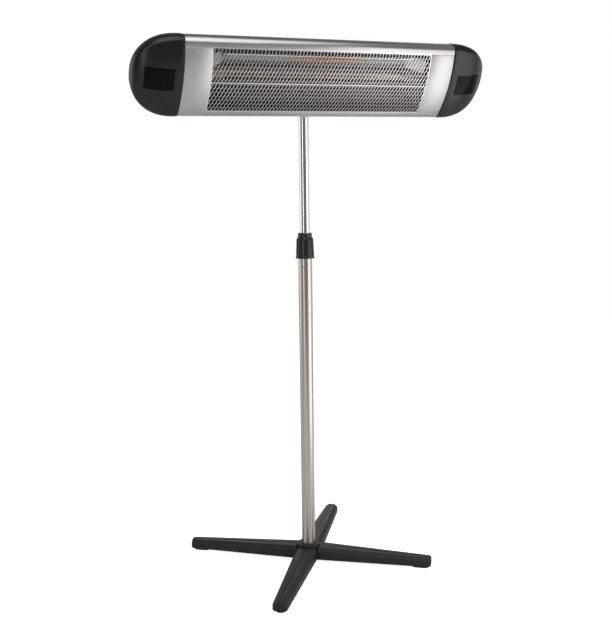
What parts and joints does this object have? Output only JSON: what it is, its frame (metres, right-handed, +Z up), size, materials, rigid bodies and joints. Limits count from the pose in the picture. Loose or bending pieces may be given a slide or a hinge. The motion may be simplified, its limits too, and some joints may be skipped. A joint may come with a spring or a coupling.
{
  "type": "outdoor heater",
  "caption": "Free-standing infrared patio heater: long tilting aluminium head with mesh guard and black dome caps on a height-adjustable twist-lock pole and a four-legged cross base.",
  "frame": {"origin": "on the floor, on the axis of the pole, midway between the four feet", "axes": "+Z up along the pole; X along the long side of the heater head; the guard faces -Y and downwards"},
  "size_m": [0.9024, 0.5416, 1.3278],
  "materials": {
    "powder_coated_iron": "black powder coat with a fine texture",
    "rubber": "matt moulded rubber",
    "zinc_steel": "zinc-plated fasteners",
    "brushed_stainless": "lengthwise brushed stainless tube",
    "chrome": "polished chrome tube",
    "satin_black_plastic": "satin moulded plastic",
    "nylon": "natural nylon",
    "black_steel": "satin black powder coat",
    "fibre": "fibre friction washers",
    "anodised_aluminium": "brushed and clear anodised",
    "guard_metal": "bright expanded metal",
    "reflector": "polished reflector sheet",
    "quartz": "clear quartz",
    "element": "oxidised resistance spiral",
    "ceramic": "unglazed steatite",
    "gloss_black": "gloss black moulding",
    "switch_plastic": "black switch housing",
    "brass": "brass cup",
    "lead_sleeve": "glass-fibre sleeving"
  },
  "bodies": {
    "base": {"base_beam_lower": "powder_coated_iron", "base_beam_upper": "powder_coated_iron", "hub_plate": "powder_coated_iron", "foot_right": "rubber", "foot_back": "rubber", "foot_left": "rubber", "foot_front": "rubber", "pole_plug": "zinc_steel", "base_bolt": "zinc_steel", "base_washer": "zinc_steel", "lap_screws": "zinc_steel", "lower_tube": "brushed_stainless", "collar_socket": "satin_black_plastic", "collet_sleeve": "nylon"},
    "twist_grip": {"collar_grip": "satin_black_plastic"},
    "slider": {"guide_bush": "nylon"},
    "mast": {"upper_tube": "chrome", "mast_fork": "black_steel", "mast_screws": "zinc_steel"},
    "head": {"pivot_bolt": "zinc_steel", "pivot_washers": "fibre", "yoke_bracket": "black_steel", "yoke_nut_plate": "zinc_steel", "yoke_screws": "zinc_steel", "housing_shell": "anodised_aluminium", "face_plate_left": "anodised_aluminium", "face_plate_right": "anodised_aluminium", "guard_rail_upper": "anodised_aluminium", "guard_rail_lower": "anodised_aluminium", "guard_mesh": "guard_metal", "guard_rod": "guard_metal", "reflector": "reflector", "reflector_end_left": "reflector", "reflector_end_right": "reflector", "quartz_tube": "quartz", "heating_element": "element", "lamp_socket_left": "ceramic", "lamp_socket_right": "ceramic", "lamp_clip_left": "zinc_steel", "lamp_clip_right": "zinc_steel", "bulkhead_left": "anodised_aluminium", "bulkhead_right": "anodised_aluminium", "end_cap_left": "satin_black_plastic", "end_cap_right": "satin_black_plastic", "cap_gasket_left": "rubber", "cap_gasket_right": "rubber", "cap_badge_left": "gloss_black", "cap_badge_right": "gloss_black", "cap_screws": "zinc_steel", "terminal_block": "ceramic", "thermal_cutout": "brass", "tip_over_switch": "switch_plastic", "heater_leads": "lead_sleeve", "cable_gland": "satin_black_plastic", "gland_nut": "satin_black_plastic", "switch_frame": "switch_plastic"},
    "clamp_knob": {"tilt_knob": "satin_black_plastic"},
    "rocker": {"switch_rocker": "gloss_black"}
  },
  "joints": [
    {"name": "lock_twist", "type": "hinge", "parent": "base", "child": "twist_grip", "pos_m": [0, 0, 0.835], "axis": [0, 0, 1], "range_deg": [0, 90]},
    {"name": "height_slide", "type": "slide", "parent": "base", "child": "slider", "axis": [0, 0, 1], "range_m": [-0.24, 0.25]},
    {"name": "mast_swivel", "type": "hinge", "parent": "slider", "child": "mast", "pos_m": [0, 0, 0.45], "axis": [0, 0, 1], "continuous": true},
    {"name": "head_tilt", "type": "hinge", "parent": "mast", "child": "head", "pos_m": [0, 0, 1.228], "axis": [1, 0, 0], "range_deg": [-28, 12]},
    {"name": "clamp_turn", "type": "hinge", "parent": "head", "child": "clamp_knob", "pos_m": [0.028, 0, 1.228], "axis": [1, 0, 0], "range_deg": [0, 90]},
    {"name": "switch_rock", "type": "hinge", "parent": "head", "child": "rocker", "pos_m": [0.2, -0.04486, 1.2653], "axis": [1, 0, 0], "range_deg": [0, 16]}
  ]
}
